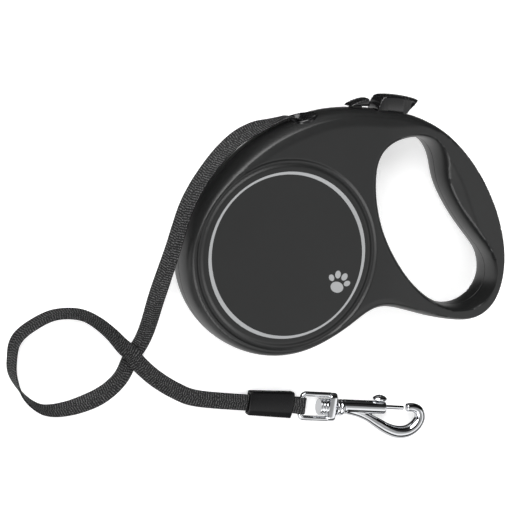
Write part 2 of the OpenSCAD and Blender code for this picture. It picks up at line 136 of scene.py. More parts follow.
def lathe(name, profile, origin, axis, seg=64, sharp=35):
    """Turned piece: profile is (distance along the axis, radius) from end to end.

    Ends at radius 0 close it.
    """
    axis = unit(axis)
    side = unit(np.cross(axis, [0, 0, 1.0]) if abs(axis[2]) < 0.9 else np.cross(axis, [1.0, 0, 0]))
    up = np.cross(axis, side)
    verts, faces, rings = [], [], []
    for s, r in profile:
        c = np.asarray(origin, float) + axis * s
        if r < 1e-6:
            rings.append([len(verts)])
            verts.append(c)
        else:
            rings.append(list(range(len(verts), len(verts) + seg)))
            for k in range(seg):
                a = 2 * math.pi * k / seg
                verts.append(c + (side * math.cos(a) + up * math.sin(a)) * r)
    for p, q in zip(rings, rings[1:]):
        for k in range(seg):
            j = (k + 1) % seg
            if len(p) == 1 and len(q) == 1:
                continue
            if len(p) == 1:
                faces.append((p[0], q[k], q[j]))
            elif len(q) == 1:
                faces.append((p[j], p[k], q[0]))
            else:
                faces.append((p[j], p[k], q[k], q[j]))
    return mesh_piece(name, verts, faces, True, sharp)


def bevelled(points, bevel):
    """The corners of a profile rounded off, for lathe profiles."""
    steps = 3
    P = [np.asarray(p, float) for p in points]
    out = [P[0]]
    for a, b, c in zip(P, P[1:], P[2:]):
        u, v = a - b, c - b
        lu, lv = np.linalg.norm(u), np.linalg.norm(v)
        k = min(bevel, lu * 0.45, lv * 0.45)
        p, q = b + u / lu * k, b + v / lv * k
        for i in range(steps + 1):
            t = i / steps
            out.append((1 - t) ** 2 * p + 2 * t * (1 - t) * b + t * t * q)
    out.append(P[-1])
    return [tuple(p) for p in out]


def join(name, parts):
    """One object from several meshes."""
    bm = bmesh.new()
    for p in parts:
        bm.from_mesh(p.data)
    me = bpy.data.meshes.new(name)
    bm.to_mesh(me)
    bm.free()
    for p in parts:
        bpy.data.objects.remove(p)
    ob = bpy.data.objects.new(name, me)
    scene.collection.objects.link(ob)
    return ob


def cut(ob, cutters, operation="DIFFERENCE"):
    """Exact boolean with each cutter, applied; the cutters are used up."""
    for c in cutters:
        m = ob.modifiers.new("cut", "BOOLEAN")
        m.operation, m.solver, m.object = operation, "EXACT", c
        dg = bpy.context.evaluated_depsgraph_get()
        me = bpy.data.meshes.new_from_object(ob.evaluated_get(dg))
        ob.modifiers.clear()
        old = ob.data
        ob.data = me
        bpy.data.meshes.remove(old)
        bpy.data.objects.remove(c)


def prism(outline, z0, z1, name="cutter"):
    """Closed prism over an outline of (x, y) in millimetres."""
    n = len(outline)
    v = [(x, y, z0) for x, y in outline] + [(x, y, z1) for x, y in outline]
    f = [tuple(range(n - 1, -1, -1)), tuple(range(n, 2 * n))]
    f += [(i, (i + 1) % n, n + (i + 1) % n, n + i) for i in range(n)]
    return mesh_piece(name, v, f, False)


def circle(r, n, cx=0.0, cy=0.0):
    turns = [2 * math.pi * k / n for k in range(n)]
    return [(cx + r * math.cos(a), cy + r * math.sin(a)) for a in turns]


# ---------------------------------------------------------------- camera
# a long lens looks down on the object from a metre away; BACK points from the object to it
AIM = (0, 0, 0.028)
DISTANCE = 1.0
BACK = unit([-0.375, 0.177, 0.910])
UP = unit(np.array([0, 1, 0]) - BACK[1] * BACK)
RIGHT = np.cross(UP, BACK)
cam_data = bpy.data.cameras.new("camera")
cam = bpy.data.objects.new("camera", cam_data)
scene.collection.objects.link(cam)
scene.camera = cam
cam_data.lens = 142.74
cam_data.sensor_width = 36
cam_data.shift_x = -0.05423
cam_data.shift_y = -0.00808
cam_data.clip_start = 0.05
cam_data.clip_end = 20
stand = Matrix.Identity(4)
for row in range(3):
    stand[row][0] = RIGHT[row]
    stand[row][1] = UP[row]
    stand[row][2] = BACK[row]
    stand[row][3] = AIM[row] + BACK[row] * DISTANCE
cam.matrix_world = stand


# ---------------------------------------------------------------- materials
class Paint:
    """A short way to write node materials: every call makes one node and links it.

    A keyword names a socket, with two underscores for a space; i0 is the first socket, and a
    leading underscore sets a property of the node itself.
    """

    def __init__(self, name):
        self.m = bpy.data.materials.new(name)
        self.m.use_nodes = True
        self.t = self.m.node_tree
        self.shader = self.t.nodes["Principled BSDF"]
        self.step = 0

    def node(self, kind, **sockets):
        n = self.t.nodes.new(kind)
        self.step += 1
        n.location = (-220 * (self.step % 9) - 200, -260 * (self.step // 9))
        for key, value in sockets.items():
            if key.startswith("_"):
                setattr(n, key[1:], value)
                continue
            numbered = key[0] == "i" and key[1:].isdigit()
            s = n.inputs[int(key[1:]) if numbered else key.replace("__", " ")]
            if isinstance(value, bpy.types.NodeSocket):
                self.t.links.new(value, s)
            else:
                s.default_value = value
        return n

    def coords(self, uv=False):
        c = self.node("ShaderNodeTexCoord")
        return c.outputs["UV"] if uv else c.outputs["Object"]

    def noise(self, vector, scale, detail=3, rough=0.5):
        n = self.node("ShaderNodeTexNoise", Vector=vector, Scale=scale, Detail=detail, Roughness=rough)
        return n.outputs["Fac"]

    def ramp(self, fac, stops):
        n = self.node("ShaderNodeValToRGB", Fac=fac)
        while len(n.color_ramp.elements) > len(stops):
            n.color_ramp.elements.remove(n.color_ramp.elements[-1])
        while len(n.color_ramp.elements) < len(stops):
            n.color_ramp.elements.new(0.5)
        for e, (at, col) in zip(n.color_ramp.elements, stops):
            e.position = at
            e.color = (*(col if hasattr(col, "__len__") else (col,) * 3), 1)
        return n.outputs["Color"]

    def math(self, op, a, b=0.0, c=0.0):
        n = self.node("ShaderNodeMath", _operation=op, i0=a, i1=b)
        if op == "MULTIPLY_ADD":
            n.inputs[2].default_value = c
        return n.outputs[0]

    def bump(self, height, strength, distance):
        n = self.node("ShaderNodeBump", Height=height, Strength=strength, Distance=distance)
        return n.outputs["Normal"]

    def set(self, **values):
        for key, value in values.items():
            s = self.shader.inputs[key.replace("__", " ")]
            if isinstance(value, bpy.types.NodeSocket):
                self.t.links.new(value, s)
            else:
                s.default_value = value if not isinstance(value, tuple) else (*value, 1)
        return self.m


def moulded(name, base, rough, grain=0.25, coat=0.0, spots=0.06, shine=0.5):
    """Moulded plastic: a fine spark-eroded grain, faint flow marks and rubbed patches in the gloss."""
    p = Paint(name)
    co = p.coords()
    fine = p.noise(co, 5200, 2, 0.6)
    broad = p.noise(co, 34, 3)
    smear = p.noise(co, 260, 4, 0.62)
    darker = [c * (1 - spots) for c in base]
    lighter = [c * (1 + spots) for c in base]
    tone = p.ramp(broad, [(0.25, darker), (0.75, lighter)])
    r = p.math("MULTIPLY_ADD", smear, 0.10, rough - 0.05)
    n = p.bump(fine, grain, 0.00004)
    return p.set(Base__Color=tone, Roughness=r, Normal=n, Coat__Weight=coat, Coat__Roughness=0.18,
                 Specular__IOR__Level=shine)


def metal(name, base, rough, scratches=0.25):
    """Bare or plated metal: hairline scratches, and a gloss that varies a little."""
    p = Paint(name)
    co = p.coords()
    line = p.node("ShaderNodeMapping", Vector=co, Scale=(900, 5200, 5200)).outputs[0]
    hair = p.noise(line, 1.0, 2, 0.5)
    broad = p.noise(co, 120, 3)
    tone = p.ramp(broad, [(0.3, [c * 0.94 for c in base]), (0.7, base)])
    r = p.math("MULTIPLY_ADD", p.noise(co, 420, 4, 0.6), 0.10, rough - 0.04)
    return p.set(Base__Color=tone, Metallic=1.0, Roughness=r, Normal=p.bump(hair, scratches, 0.00001))


HOUSING = moulded("satin_black_shell", (0.0100, 0.0103, 0.0103), 0.34, 0.25)
GLOSS = moulded("polished_black", (0.006, 0.006, 0.0065), 0.13, 0.06, coat=0.3)
SLEEVE = moulded("soft_black_sleeve", (0.0035, 0.0035, 0.004), 0.27, 0.08, shine=0.25)
CHROME = metal("chrome_plate", (0.74, 0.75, 0.77), 0.07, 0.05)
STEEL = metal("zinc_plate", (0.62, 0.63, 0.66), 0.30)
SPRING = metal("spring_steel", (0.48, 0.50, 0.53), 0.24)
PAWL = metal("stamped_brass", (0.62, 0.47, 0.22), 0.32)
REEL = moulded("natural_acetal", (0.72, 0.71, 0.68), 0.40, 0.2)
COVER = moulded("dark_grey_plastic", (0.05, 0.052, 0.056), 0.45, 0.25)
SILVER = moulded("silver_print", (0.30, 0.305, 0.31), 0.30, 0.15)


def webbing():
    """Woven nylon tape. U runs along it in millimetres, V across it in millimetres from its middle."""
    pick, thread_pitch = 1.25, 1.05
    p = Paint("woven_tape")
    uv = p.coords(uv=True)
    sep = p.node("ShaderNodeSeparateXYZ", Vector=uv)
    u, v = sep.outputs[0], sep.outputs[1]
    # picks of the herringbone twill: their slant turns over in the middle of the tape
    slant = p.math("MULTIPLY_ADD", p.math("ABSOLUTE", v), 1.35, 0.0)
    warp = p.math("ADD", u, slant)
    wob = p.math("MULTIPLY", p.math("SUBTRACT", p.noise(uv, 1.6, 3), 0.5), 0.35)
    rib = p.math("SINE", p.math("MULTIPLY", p.math("ADD", warp, wob), 2 * math.pi / pick))
    thread = p.math("SINE", p.math("MULTIPLY", v, 2 * math.pi / thread_pitch))
    weave = p.math("MULTIPLY_ADD", p.math("MULTIPLY", rib, thread), 0.25, 0.5)
    fleck = p.noise(p.node("ShaderNodeMapping", Vector=uv, Scale=(1.1, 1.9, 1)).outputs[0], 1.0, 2, 0.75)
    both = p.math("ADD", p.math("MULTIPLY", weave, 0.5), p.math("MULTIPLY", fleck, 0.5))
    tone = p.ramp(both, [(0.46, (0.0004, 0.0004, 0.0005)), (0.54, (0.0025, 0.0025, 0.003)),
                         (0.63, (0.15, 0.15, 0.152))])
    n = p.bump(both, 0.8, 0.0003)
    return p.set(Base__Color=tone, Roughness=0.62, Normal=n, Specular__IOR__Level=0.3)


WEB = webbing()


def dress(ob, material):
    ob.data.materials.clear()
    ob.data.materials.append(material)
    return ob


# ---------------------------------------------------------------- free tape
TAPE_W, TAPE_T = 8.4, 1.0
SNAP = np.array([35.4, -84.6, 4.5])
TURN = math.radians(-8)
AX = np.array([math.cos(TURN), math.sin(TURN), 0])
LAT = np.array([-math.sin(TURN), math.cos(TURN), 0])
ZED = np.array([0, 0, 1.0])


def snap(u, v=0.0, z=0.0):
    """A point along, across and above the snap hook's own line."""
    return SNAP + AX * u + LAT * v + ZED * z


SLEEVE_FROM, SLEEVE_Z, SLEEVE_L = -47.4, 3.2, 24.0
ROUTE = [
    (13.4, 60.6, 14, 90), (11.3, 64.3, 14, 90), (6, 65.8, 14, 89),
    (2.5, 65.3, 14.1, 87), (-2.8, 64.0, 14.3, 78), (-11.7, 61.5, 15.2, 52),
    (-21.2, 57.6, 16.8, 46), (-30, 51.4, 18.6, 48), (-37.7, 43.9, 20.2, 52),
    (-44.6, 35.3, 21.4, 52), (-50, 26, 22, 51), (-53.8, 15.4, 21.8, 49),
    (-56.7, 5, 20.3, 46), (-60, -7.8, 16.8, 34), (-62.5, -20, 12, 16),
    (-64.3, -33.5, 5.5, 5), (-66.8, -42.6, 1.6, 1), (-71.7, -49.8, 0.65, 0),
    (-77.6, -60.2, 0.65, 0), (-87.5, -67.4, 1.4, 12), (-101, -71.2, 3.2, 42),
    (-112.7, -72, 3.9, 58), (-120.3, -69.7, 4.2, 70), (-127.6, -62.7, 4.5, 80),
    (-132.2, -52.4, 4.7, 103), (-132.3, -43.9, 4.7, 108), (-130.7, -36.7, 4.7, 111),
    (-125.7, -31.4, 4.7, 113), (-115.4, -26.1, 4.7, 113), (-107, -24.7, 4.6, 116),
    (-97.5, -26.1, 4.5, 123), (-89.8, -30.5, 4.3, 133), (-82.8, -36.7, 4.1, 143),
    (-77.1, -43.2, 3.9, 156), (-71.9, -48.2, 3.3, 170), (-68.4, -53.1, 2.7, 178),
    (-60, -61.2, 1.9, 180), (-49, -68.8, 1.5, 180), (-37.6, -73.7, 1.9, 180),
]
sleeve_end = snap(SLEEVE_FROM)
ROUTE.append((sleeve_end[0], sleeve_end[1], SLEEVE_Z, 180))


def ribbon(name, path, across=None):
    """A woven strip along path (x, y, z, roll), with rounded, slightly thicker selvedges.

    It carries a map in millimetres along and across it.
    """
    line, at = resample(path, 0.8)
    tang = frames(line)
    h, w = TAPE_T / 2, TAPE_W / 2
    half = [(w, 0.0), (w - 0.07, h * 0.62), (w - 0.28, h * 0.95), (w - 0.62, h), (w - 1.0, h * 0.86),
            (w - 1.6, h * 0.88), (w * 0.3, h * 0.9), (0.0, h * 0.9)]
    top = half + [(-a, b) for a, b in half[-2::-1]]
    section = top + [(a, -b) for a, b in top[-2:0:-1]]
    verts, vmap = [], []
    for p, t, s in zip(line, tang, at):
        if across is None:
            side = unit(np.cross(ZED, t))
        else:
            side = np.asarray(across, float)
        up = np.cross(t, side)
        a = math.radians(p[3])
        wide, norm = side * math.cos(a) + up * math.sin(a), up * math.cos(a) - side * math.sin(a)
        for x, y in section:
            verts.append(p[:3] + wide * x + norm * y)
            vmap.append((s, x))
    n = len(section)
    ob = mesh_piece(name, verts, grid_faces(len(line), n), True, 60)
    # each corner takes its point's place on the strip
    layer = ob.data.uv_layers.new(name="strip")
    for loop in ob.data.loops:
        layer.data[loop.index].uv = vmap[loop.vertex_index]
    return ob


tape_path = catmull(ROUTE, 12)
tape = ribbon("woven_tape", tape_path)
dress(tape, WEB)
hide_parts("free_tape")
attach(tape, "housing")

# ---------------------------------------------------------------- sewn end, sleeve and eye
WIRE_R = 1.35
BAR_AT = -20.2 + WIRE_R
FOLD_R = 1.92
fold = []
for u, z in [(-44, -0.75), (-34, -0.75), (-26, -0.75), (-23.6, -0.6), (-22.2, 0.0), (-20.8, 1.1)]:
    fold.append((u, z))
for k in range(9):
    a = math.radians(105 - 26.25 * k)
    fold.append((BAR_AT + FOLD_R * math.cos(a), FOLD_R * math.sin(a)))
for u, z in [(-21, -1.8), (-22.4, -1.86), (-24, -1.86), (-27, -1.86), (-35, -1.86), (-44, -1.86)]:
    fold.append((u, z))
fold_path = [(*snap(u, 0, z), 0) for u, z in fold]
end_loop = ribbon("sewn_end", catmull(fold_path, 5), across=LAT)
dress(end_loop, WEB)
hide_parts("tape_end_loop")
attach(end_loop, "housing")


def squircle(half_w, half_h, power, n):
    """Rounded rectangle; a higher power gives tighter corners."""
    pts = []
    for k in range(n):
        a = 2 * math.pi * (k + 0.5) / n
        c, s = math.cos(a), math.sin(a)
        across = half_w * math.copysign(abs(c) ** (2 / power), c)
        pts.append((across, half_h * math.copysign(abs(s) ** (2 / power), s)))
    return pts


def loft(name, rings, around=False, sharp=40):
    """Skin over rings of equal count, capped at both ends or, with `around`, closed on itself."""
    n = len(rings[0])
    verts = [p for ring in rings for p in ring]
    faces = grid_faces(len(rings), n, not around)
    if around:
        last = (len(rings) - 1) * n
        faces += [(last + c, last + (c + 1) % n, (c + 1) % n, c) for c in range(n)]
    return mesh_piece(name, verts, faces, True, sharp)


def sleeve_ring(u, w, h, power):
    """Section of the sleeve; along one long side its upper face slants down."""
    slant_from, slope = -2.7, 0.4
    ring = []
    for a, b in squircle(w, h, power, 72):
        lowered = min(b, h - slope * max(0.0, slant_from - a))
        ring.append(snap(u, a, SLEEVE_Z - SNAP[2] + lowered))
    return ring


# half-width at the tape's end and at the eye's end, and half-height
SLEEVE_W0, SLEEVE_W1, SLEEVE_H = 6.2, 6.8, 2.65
# rounding of both ends: distance from the end, and share of the full size there
LIP = [(0.0, 0.86), (0.05, 0.92), (0.22, 0.965), (0.55, 0.99), (1.1, 1.0)]
LIP_DEEP = LIP[-1][0]
s0, s1 = SLEEVE_FROM, SLEEVE_FROM + SLEEVE_L
rings = []
for u, w, h, power in [(1.6, 4.5, 1.2, 6), (0.5, 4.6, 1.3, 6), (0.12, 4.9, 1.6, 7)]:
    rings.append(sleeve_ring(s0 + u, w, h, power))
for u, k in LIP:
    rings.append(sleeve_ring(s0 + u, SLEEVE_W0 * k, SLEEVE_H * (k * 1.3 - 0.3), 8))
for k in range(1, 12):
    t = k / 12
    wide = SLEEVE_W0 + (SLEEVE_W1 - SLEEVE_W0) * t
    full = SLEEVE_H + 0.05 * math.sin(math.pi * t)
    rings.append(sleeve_ring(s0 + LIP_DEEP + (SLEEVE_L - 2 * LIP_DEEP) * t, wide, full, 8))
for u, k in LIP[::-1]:
    rings.append(sleeve_ring(s1 - u, SLEEVE_W1 * k, SLEEVE_H * (k * 1.3 - 0.3), 8))
for u, w, h, power in [(0.12, 5.0, 1.7, 6), (0.5, 4.6, 1.4, 6), (1.6, 4.5, 1.3, 6)]:
    rings.append(sleeve_ring(s1 - u, w, h, power))
sleeve = loft("tape_sleeve_shell", rings)
dress(sleeve, SLEEVE)
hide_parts("tape_sleeve")
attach(sleeve, "housing")


def tube(name, path, radius, n=24):
    """Round bar along a path (x, y, z); radius is one number, or one for each point."""
    path = np.asarray(path, float)
    t = frames(path)
    r = np.broadcast_to(radius, (len(path),))
    rings = []
    for p, d, q in zip(path, t, r):
        side = unit(np.cross(ZED, d))
        up = np.cross(d, side)
        turns = [2 * math.pi * k / n for k in range(n)]
        rings.append([p + (side * math.cos(a) + up * math.sin(a)) * q for a in turns])
    return loft(name, rings)


def plate(name, outline, z0, z1, bevel, to_world):
    """Flat plate over an outline with bevelled edges; to_world places (a, b, thickness)."""
    rings = []
    o = np.asarray(outline, float)
    n = np.roll(o, -1, 0) - np.roll(o, 1, 0)
    n = np.stack([n[:, 1], -n[:, 0]], 1)
    n /= np.linalg.norm(n, axis=1)[:, None]
    part = bevel * 0.3
    for depth, inset in [(z0, bevel), (z0 + part, part), (z0 + bevel, 0), (z1 - bevel, 0),
                         (z1 - part, part), (z1, bevel)]:
        q = o - n * inset
        rings.append([to_world(a, b, depth) for a, b in q])
    return loft(name, rings)


def stadium_outline(r, half, n=48):
    """Closed outline, long along the second value."""
    pts = []
    for k in range(n):
        a = 2 * math.pi * (k + 0.5) / n
        pts.append((r * math.cos(a), r * math.sin(a) + math.copysign(half, math.sin(a))))
    return pts


EYE_HALF, EYE_BEND = 6.2, 2
arc = []
for side in (-1, 1):
    bend = []
    for a in np.linspace(0, math.pi / 2, 9):
        along = BAR_AT + EYE_BEND - EYE_BEND * math.cos(a)
        bend.append((along, side * (EYE_HALF - EYE_BEND + EYE_BEND * math.sin(a))))
    straight = [(u, side * EYE_HALF) for u in np.linspace(BAR_AT + 3, -3.2, 9)]
    run = bend + straight
    arc.append(run if side > 0 else run[::-1])
wire = arc[0] + [(BAR_AT, v) for v in (-3.4, -2.0, -0.8, 0.8, 2.0, 3.4)] + arc[1]
eye_bar = tube("eye_bar", [snap(u, v) for u, v in wire], WIRE_R)
eye_plate = plate("eye_plate", stadium_outline(2.9, 4.5), -4.2, 0.0, 0.8, lambda z, v, u: snap(u, v, z))
eye = join("swivel_eye_wire", [eye_bar, eye_plate])
bore = lathe("bore", [(-4.8, 0), (-4.8, 2.06), (0.8, 2.06), (0.8, 0)], snap(0), AX, 32)
cut(eye, [bore])
tidy(eye, True, 40)
dress(eye, CHROME)
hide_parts("swivel_eye")
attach(eye, "swivel_eye")

# ---------------------------------------------------------------- swivel and snap hook
HEAD_FROM, HEAD_TO, RIDGE_R, WAIST_R, RIDGE_PITCH = -9.2, -4.4, 4.2, 3.6, 1.75
profile = [(HEAD_FROM, 0)]
for k in range(3):
    at = HEAD_FROM + RIDGE_PITCH * k
    profile += [(at, RIDGE_R), (at + 1.2, RIDGE_R), (at + 1.2, WAIST_R), (at + RIDGE_PITCH, WAIST_R)]
profile = profile[:-1] + [(HEAD_TO, WAIST_R), (HEAD_TO, 0)]
head = lathe("swivel_head_turned", bevelled(profile, 0.3), snap(0), AX, 72, 45)
dress(head, CHROME)
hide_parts("swivel_head")
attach(head, "snap")

# the hook's bar as (along, across, radius)
HOOK = [(5, -0.6, 2.7), (9, -1.3, 2.5), (14, -2.5, 2.3), (19.5, -4.5, 2.3), (25, -7.2, 2.7),
        (31, -10, 3), (37, -11.5, 3.3), (42.5, -10.9, 3.3), (46.8, -8, 3.2),
        (48.9, -3.6, 3), (47.6, 0.2, 2.7), (44, 1.7, 2.4), (40, 1.4, 2.2)]
hook_line = catmull(HOOK, 10)
centre_pts = [snap(u, v) for u, v, r in hook_line]
radii = [r * 0.975 for u, v, r in hook_line]
for k in (1, 2, 3, 4):
    a = math.pi / 2 * k / 4.6
    radii[-5 + k] = min(radii[-5 + k], 2.2 * math.cos(a) + 0.25)
arm = tube("arm", centre_pts, radii, 28)
barrel = lathe("barrel", bevelled([(4, 0), (4, 3.4), (27.8, 3.4), (27.8, 0)], 0.5), snap(0, 0.9), AX, 64)
collar_profile = [(0.25, 0), (0.25, 4.2), (1.6, 4.3), (2.1, 3.7), (2.5, 4.25), (3.8, 4.25), (4.2, 3.5),
                  (6, 3.3), (6, 0)]
collar = lathe("collar", bevelled(collar_profile, 0.3), snap(0), AX, 64)
shank = lathe("shank", [(-8, 0), (-8, 2), (2, 2), (2, 0)], snap(0), AX, 40)
for piece in (barrel, collar):
    m = arm.modifiers.new("weld", "BOOLEAN")
    m.operation, m.solver, m.object = "UNION", "EXACT", piece
m = arm.modifiers.new("melt", "REMESH")
m.mode, m.voxel_size = "VOXEL", 0.2 * MM
m = arm.modifiers.new("ease", "SMOOTH")
m.factor, m.iterations = 0.5, 9
dg = bpy.context.evaluated_depsgraph_get()
body = bpy.data.meshes.new_from_object(arm.evaluated_get(dg))
for piece in (barrel, collar, arm):
    bpy.data.objects.remove(piece)
hook = bpy.data.objects.new("snap_hook_casting", body)
scene.collection.objects.link(hook)
m = hook.modifiers.new("thin", "DECIMATE")
m.ratio = 0.35
dg = bpy.context.evaluated_depsgraph_get()
hook.data = bpy.data.meshes.new_from_object(hook.evaluated_get(dg))
hook.modifiers.clear()
bore_profile = [(5, 0), (5, 1.8), (26.8, 1.8), (26.8, 1.16), (39.8, 1.16), (39.8, 0)]
bore = lathe("bore", bore_profile, snap(0, 1.3), AX, 40)
slot_ring = [(14.7, 1.3), (25.7, 1.3), (25.7, 7.3), (14.7, 7.3)]
slot_box = loft("slot", [[snap(u, v, z) for u, v in slot_ring] for z in (-0.8, 0.8)])
cut(hook, [bore, slot_box])
cut(hook, [shank], "UNION")
tidy(hook, True, 42)
dress(hook, CHROME)
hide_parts("snap_body")
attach(hook, "snap")

pin_profile = bevelled([(17.8, 0), (17.8, 1.7), (26.4, 1.7), (26.4, 1.1), (38.8, 1.1), (38.8, 0)], 0.4)
bolt = lathe("spring_bolt", pin_profile, snap(0, 1.3), AX, 40)
dress(bolt, CHROME)
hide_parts("snap_bolt")
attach(bolt, "snap_bolt")

KNOB_AT, KNOB_FOOT, KNOB_FLATNESS = 24.7, 4.74, 0.76
RIDGE_DEEP, CROWN_FROM = 0.12, 6.2
crown = [(0.0, 0.0), (0.0, 3.3), (0.25, 3.75), (0.8, 3.95), (1.3, 3.8), (1.8, 3.3), (2.3, 2.5), (2.6, 1.7),
         (2.8, 0.9), (2.86, 0.0)]
knob_cap = lathe("cap", [(KNOB_FOOT + h, r) for h, r in crown], snap(KNOB_AT), LAT, 48)
middle = Vector(snap(KNOB_AT) * MM)
for v in knob_cap.data.vertices:
    v.co.z = middle.z + (v.co.z - middle.z) * KNOB_FLATNESS
    # a row of fine grip ridges across the crown
    along_u = (Vector(v.co) - middle).dot(Vector(AX)) / MM
    above = (Vector(v.co) - middle).dot(Vector(LAT)) / MM
    if above > CROWN_FROM:
        v.co -= Vector(LAT * MM) * (RIDGE_DEEP * (1 + math.sin(along_u * 4.6)))
stem_profile = bevelled([(2.9, 0), (2.9, 0.65), (4.9, 0.65), (4.9, 0)], 0.1)
knob_stem = lathe("stem", stem_profile, snap(KNOB_AT), LAT, 24)
knob = join("thumb_knob", [knob_cap, knob_stem])
tidy(knob, True, 45)
dress(knob, CHROME)
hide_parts("bolt_knob")
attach(knob, "snap_bolt")

# ---------------------------------------------------------------- housing shells
# the parting plane, the front face and how round the edges are
MID, TOP, SHAPE = 14.0, 28.0, 0.85
# control points (x, y, rounding) of both outlines; the round end of the casing comes first
RIM = []
for a in range(176, 303, 18):
    RIM.append((-0.8 + 51.6 * math.cos(math.radians(a)), -0.6 + 51.6 * math.sin(math.radians(a)), 5))
RIM += [
    (37, -38.2, 5), (49, -29.6, 5), (61.8, -32, 4.6), (75.6, -36.9, 4.4), (88.8, -40.2, 4.4),
    (101, -42.1, 4.2), (111.5, -38.3, 3.8), (119, -28.6, 3.6), (122.2, -14, 4), (121.2, 1, 4.6),
    (116.4, 17.3, 4.8), (108, 34.1, 5), (96.9, 48.4, 5), (84.9, 58.7, 5), (70.6, 65.2, 6),
    (54.3, 68.2, 7), (38.1, 69.8, 7), (22.9, 69.2, 7), (8, 65.2, 7), (-6, 59.4, 6.5),
    (-19, 51, 6), (-31, 40.8, 5.5), (-42, 28.8, 5), (-49.4, 14.2, 5),
]
HOLE = [
    (49.1, 38.9, 4), (49, 25.1, 4), (52.1, 10.2, 4), (58, -2.7, 4), (66.3, -15.8, 4),
    (77, -26.8, 3.6), (90.1, -34, 3.4), (104.7, -34.4, 3), (115.6, -24.8, 2.8), (115.1, -10.8, 4),
    (106.8, -1.1, 6.5), (98.8, 8.4, 8), (91.3, 19.7, 9), (85.5, 31.6, 9), (85, 42.7, 6.5),
    (79.8, 52.2, 4), (69, 54.4, 3.5), (57.5, 51.5, 3.6), (51.6, 46.1, 4),
]
rim, hole = bspline(RIM, 9), bspline(HOLE, 9)
RIM_FOLD, RIM_SLOPE = 1.18, 0.24


def share(a):
    """How far in the rounded edge has come at an angle, as a share of the rounding."""
    return 1 - math.cos(math.radians(a)) ** SHAPE


def height(a):
    """Height of the rounded edge at an angle."""
    return MID * (1 + math.sin(math.radians(a)) ** SHAPE)


def moved_in(curve, amount):
    """The curve moved into the material by a number of millimetres at each point."""
    step = np.roll(curve[:, :2], -1, 0) - np.roll(curve[:, :2], 1, 0)
    n = np.stack([-step[:, 1], step[:, 0]], 1)
    n /= np.linalg.norm(n, axis=1)[:, None]
    return curve[:, :2] + n * np.broadcast_to(amount, len(curve))[:, None]


def nearest(p, curve):
    """Distance of each point from a closed curve, and the curve's third value there."""
    a, b = curve, np.roll(curve, -1, 0)
    d = (b - a)[:, :2]
    best, third = np.full(len(p), 1e9), np.zeros(len(p))
    for i in range(len(a)):
        t = np.clip(((p - a[i, :2]) @ d[i]) / (d[i] @ d[i]), 0, 1)
        r = np.linalg.norm(p - a[i, :2] - t[:, None] * d[i], axis=1)
        near = r < best
        best = np.where(near, r, best)
        third = np.where(near, a[i, 2] + t * (b[i, 2] - a[i, 2]), third)
    return best, third


def inside(p, curve):
    """Which points lie inside a closed curve."""
    x, y = p[:, 0], p[:, 1]
    odd = np.zeros(len(p), bool)
    for (x0, y0), (x1, y1) in zip(curve[:, :2], np.roll(curve[:, :2], -1, 0)):
        if y0 != y1:
            odd ^= ((y0 > y) != (y1 > y)) & (x < (x1 - x0) * (y - y0) / (y1 - y0) + x0)
    return odd


def fold_share(curve, third):
    """Where the sloping band around an edge meets the face, as a share of the rounding, and its slope."""
    if curve is rim:
        return RIM_FOLD + 0 * third, RIM_SLOPE + 0 * third
    return 1 + 0.4 * np.clip((third - 5) / 4, 0, 1), 0.34 * np.clip((third - 4.5) / 3, 0, 1)


def edge_rise(p, curve):
    """Height over points (x, y) that one edge allows: its rounding, then its sloping band."""
    d, third = nearest(p, curve)
    c = (1 - np.clip(d / third, 0, 1)) ** (1 / SHAPE)
    fold, slope = fold_share(curve, third)
    band = TOP - slope * np.clip(fold * third - d, 0, None)
    return np.minimum(MID * (1 + (1 - c * c) ** (SHAPE / 2)), band)


def smooth_min(a, b, k):
    """The lower of two heights, eased where they are closer than k."""
    h = np.clip(k - abs(a - b), 0, None) / k
    return np.minimum(a, b) - h * h * k / 4


def face_height(p):
    """Height of the front face over points (x, y), with the handle's slope and both roundings."""
    slope_from, ease_over = 45, 20
    past = np.clip(p[:, 0] - slope_from, 0, None)
    eased = np.where(past < ease_over, past * past / (2 * ease_over), past - ease_over / 2)
    drop = math.tan(math.radians(2.2)) * eased
    edges = smooth_min(edge_rise(p, rim), edge_rise(p, hole), 0.35)
    return np.minimum(edges, smooth_min(TOP - drop, TOP + 0 * drop + 0.3, 0.3))


# angles at which the rounding is sampled, below and above the steep part's end, and the groove's radius
LOW_ANGLES = (2, 5, 9, 13, 17, 22, 27, 32, 37, 42)
HIGH_ANGLES = (48, 54, 60, 65, 70, 75, 80, 85, 90)
RING_FROM = 48.2
AROUND = 256


def face_rings(panel):
    """Radius and depth below the face of the rings across the groove and the round panel inside it."""
    groove_r, steps = 45.5, 8
    rings = [(RING_FROM, 0), (47.9, 0.02), (47.5, 0.12), (47.1, 0.32), (46.7, 0.6), (46.3, 0.84),
             (45.9, 0.97), (groove_r, 1.0)]
    for k in range(1, steps + 1):
        rings.append((groove_r - 0.3 * k, panel + (1 - panel) * (1 + math.cos(math.pi * k / steps)) / 2))
    return rings + [(r, panel) for r in (42.6, 40, 32, 22, 12, 5, 0)]


